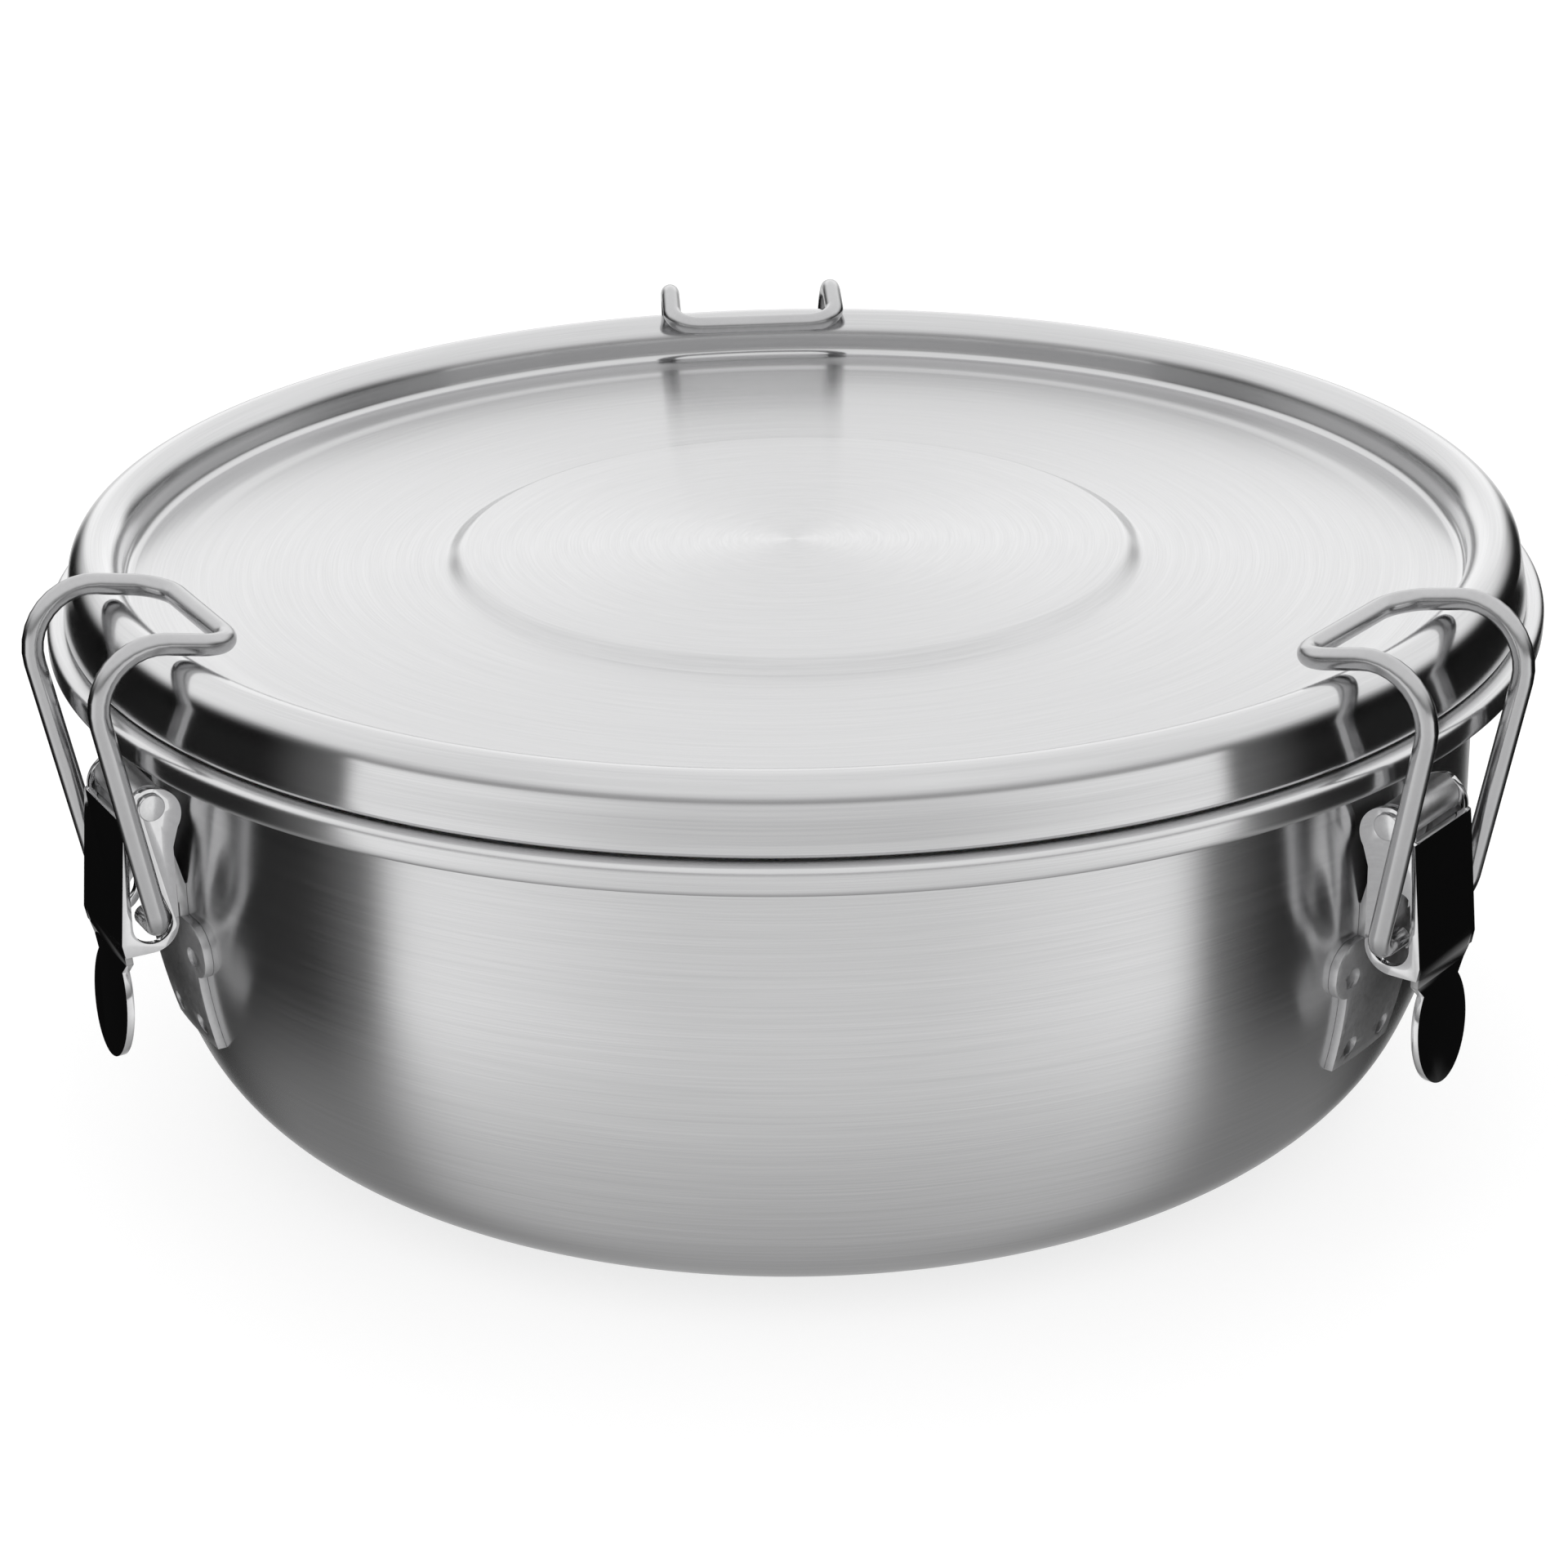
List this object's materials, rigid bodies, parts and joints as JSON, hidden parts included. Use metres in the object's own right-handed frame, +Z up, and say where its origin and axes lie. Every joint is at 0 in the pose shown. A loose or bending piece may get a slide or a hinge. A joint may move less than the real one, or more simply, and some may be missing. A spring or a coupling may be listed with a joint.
{
  "type": "lunch box",
  "caption": "Round stainless steel lunch box with a shallow pressed lid held down by over-centre wire bail latches on brackets welded to the bowl.",
  "frame": {"origin": "centre of the bowl's flat base", "axes": "+Z up along the bowl's axis, -Y towards the side seen between the left and right latches, +Y towards the back latch"},
  "size_m": [0.164, 0.168, 0.0676],
  "materials": {
    "brushed_steel": "brushed round the wall",
    "spun_steel": "spun, circular brushing",
    "bracket_steel": "satin",
    "polished_lever": "polished",
    "pin_steel": "polished",
    "bail_wire": "satin drawn wire",
    "gasket": "translucent silicone"
  },
  "bodies": {
    "bowl": {"bowl": "brushed_steel", "back_bracket": "bracket_steel", "back_hinge_pin": "pin_steel", "left_bracket": "bracket_steel", "left_hinge_pin": "pin_steel", "right_bracket": "bracket_steel", "right_hinge_pin": "pin_steel"},
    "lid": {"lid": "spun_steel", "gasket": "gasket"},
    "back_lever": {"back_lever": "polished_lever"},
    "back_bail": {"back_bail": "bail_wire"},
    "left_lever": {"left_lever": "polished_lever"},
    "left_bail": {"left_bail": "bail_wire"},
    "right_lever": {"right_lever": "polished_lever"},
    "right_bail": {"right_bail": "bail_wire"}
  },
  "joints": [
    {"name": "back_lever_hinge", "type": "hinge", "parent": "bowl", "child": "back_lever", "pos_m": [-0.00479, 0.07835, 0.0474], "axis": [0.9981, 0.061, 0], "range_deg": [0, 114.6]},
    {"name": "back_bail_hinge", "type": "hinge", "parent": "back_lever", "child": "back_bail", "pos_m": [-0.00486, 0.07945, 0.0351], "axis": [-0.9981, -0.061, 0], "range_deg": [0, 304]},
    {"name": "left_lever_hinge", "type": "hinge", "parent": "bowl", "child": "left_lever", "pos_m": [-0.06918, -0.0371, 0.0474], "axis": [-0.4726, 0.8813, 0], "range_deg": [0, 114.6]},
    {"name": "left_bail_hinge", "type": "hinge", "parent": "left_lever", "child": "left_bail", "pos_m": [-0.07015, -0.03762, 0.0351], "axis": [0.4726, -0.8813, 0], "range_deg": [0, 304]},
    {"name": "right_lever_hinge", "type": "hinge", "parent": "bowl", "child": "right_lever", "pos_m": [0.06244, -0.04757, 0.0474], "axis": [-0.606, -0.7955, 0], "range_deg": [0, 114.6]},
    {"name": "right_bail_hinge", "type": "hinge", "parent": "right_lever", "child": "right_bail", "pos_m": [0.06332, -0.04824, 0.0351], "axis": [0.606, 0.7955, 0], "range_deg": [0, 304]},
    {"name": "lid_lift", "type": "slide", "parent": "bowl", "child": "lid", "axis": [0, 0, 1], "range_m": [0, 0.01]}
  ],
  "couplings": [
    {"joint": "back_lever_hinge", "follows": "lid_lift", "rad_per_m": 200},
    {"joint": "back_bail_hinge", "follows": "lid_lift", "rad_per_m": 530},
    {"joint": "left_lever_hinge", "follows": "lid_lift", "rad_per_m": 200},
    {"joint": "left_bail_hinge", "follows": "lid_lift", "rad_per_m": 530},
    {"joint": "right_lever_hinge", "follows": "lid_lift", "rad_per_m": 200},
    {"joint": "right_bail_hinge", "follows": "lid_lift", "rad_per_m": 530}
  ]
}
